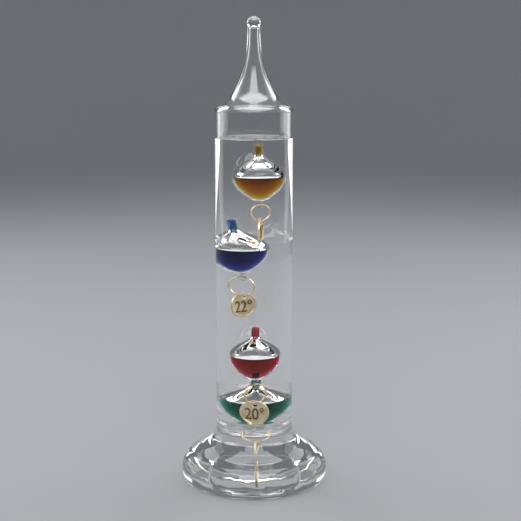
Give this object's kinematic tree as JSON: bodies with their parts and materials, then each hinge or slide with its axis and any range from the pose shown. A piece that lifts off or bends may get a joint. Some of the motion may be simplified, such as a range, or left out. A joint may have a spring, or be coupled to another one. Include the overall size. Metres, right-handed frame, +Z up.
{
  "type": "galileo thermometer",
  "caption": "Sealed glass tube of clear liquid on a flared foot, with dyed glass floats that rise and sink and carry ring-hung brass temperature tags.",
  "frame": {"origin": "centre of the foot's underside, on the surface it stands on", "axes": "+Z up along the tube's axis, -Y towards the front, +X to the viewer's right"},
  "size_m": [0.0574, 0.0574, 0.18],
  "materials": {
    "clear_glass": "fire-polished clear borosilicate glass",
    "clear_liquid": "clear colourless liquid",
    "float_glass": "thin blown clear glass",
    "brass_wire": "bright drawn wire",
    "stamped_brass": "stamped, polished relief",
    "yellow_liquid": "dyed transparent liquid",
    "yellow_seal": "translucent dyed sealing resin",
    "blue_liquid": "dyed transparent liquid",
    "blue_seal": "translucent dyed sealing resin",
    "red_liquid": "dyed transparent liquid",
    "red_seal": "translucent dyed sealing resin",
    "green_liquid": "dyed transparent liquid",
    "green_seal": "translucent dyed sealing resin"
  },
  "bodies": {
    "root": {"glass_foot": "clear_glass", "glass_tube": "clear_glass", "filling_liquid": "clear_liquid"},
    "yellow_float": {"yellow_bulb": "float_glass", "yellow_dye": "yellow_liquid", "yellow_seal": "yellow_seal"},
    "yellow_ring_body": {"yellow_ring": "brass_wire"},
    "yellow_tag_body": {"yellow_tag": "stamped_brass"},
    "blue_float": {"blue_bulb": "float_glass", "blue_dye": "blue_liquid", "blue_seal": "blue_seal"},
    "blue_ring_body": {"blue_ring": "brass_wire"},
    "blue_tag_body": {"blue_tag": "stamped_brass"},
    "red_float": {"red_bulb": "float_glass", "red_dye": "red_liquid", "red_seal": "red_seal"},
    "red_ring_body": {"red_ring": "brass_wire"},
    "red_tag_body": {"red_tag": "stamped_brass"},
    "green_float": {"green_bulb": "float_glass", "green_dye": "green_liquid", "green_seal": "green_seal"},
    "green_ring_body": {"green_ring": "brass_wire"},
    "green_tag_body": {"green_tag": "stamped_brass"}
  },
  "joints": [
    {"name": "yellow_float_rise", "type": "slide", "parent": "root", "child": "yellow_float", "axis": [0, 0, 1], "range_m": [-0.0003, 0.001], "deforming": ["filling_liquid"]},
    {"name": "yellow_ring_swing", "type": "hinge", "parent": "yellow_float", "child": "yellow_ring_body", "pos_m": [0.0019, -0.00423, 0.11017], "axis": [0.8829, 0.4695, 0], "range_deg": [-15, 0]},
    {"name": "yellow_tag_swing", "type": "hinge", "parent": "yellow_ring_body", "child": "yellow_tag_body", "pos_m": [0.0019, -0.00423, 0.10393], "axis": [0.8829, 0.4695, 0], "range_deg": [-15, 1]},
    {"name": "blue_float_rise", "type": "slide", "parent": "root", "child": "blue_float", "axis": [0, 0, 1], "range_m": [-0.009, 0], "deforming": ["filling_liquid"]},
    {"name": "blue_ring_swing", "type": "hinge", "parent": "blue_float", "child": "blue_ring_body", "pos_m": [-0.00297, 0.0025, 0.08143], "axis": [0.809, -0.5878, 0], "range_deg": [-20, 20]},
    {"name": "blue_tag_swing", "type": "hinge", "parent": "blue_ring_body", "child": "blue_tag_body", "pos_m": [-0.00297, 0.0025, 0.07399], "axis": [0.809, -0.5878, 0], "range_deg": [-20, 20]},
    {"name": "red_float_rise", "type": "slide", "parent": "root", "child": "red_float", "axis": [0, 0, 1], "range_m": [0, 0.01], "deforming": ["filling_liquid"]},
    {"name": "red_ring_swing", "type": "hinge", "parent": "red_float", "child": "red_ring_body", "pos_m": [0.00021, -0.00461, 0.04018], "axis": [0.8192, 0.5736, 0], "range_deg": [-15, 2]},
    {"name": "red_tag_swing", "type": "hinge", "parent": "red_ring_body", "child": "red_tag_body", "pos_m": [0.00021, -0.00461, 0.03234], "axis": [0.8192, 0.5736, 0], "range_deg": [-18, 3]},
    {"name": "green_float_rise", "type": "slide", "parent": "root", "child": "green_float", "axis": [0, 0, 1], "range_m": [-0.0002, 0.0004], "deforming": ["filling_liquid"]},
    {"name": "green_ring_swing", "type": "hinge", "parent": "green_float", "child": "green_ring_body", "pos_m": [0.00002, 0.00485, 0.01935], "axis": [0.9848, 0.1736, 0], "range_deg": [-12, 2]},
    {"name": "green_tag_swing", "type": "hinge", "parent": "green_ring_body", "child": "green_tag_body", "pos_m": [0.00058, 0.00169, 0.01331], "axis": [0.9848, 0.1736, 0], "range_deg": [-12, 12]}
  ]
}
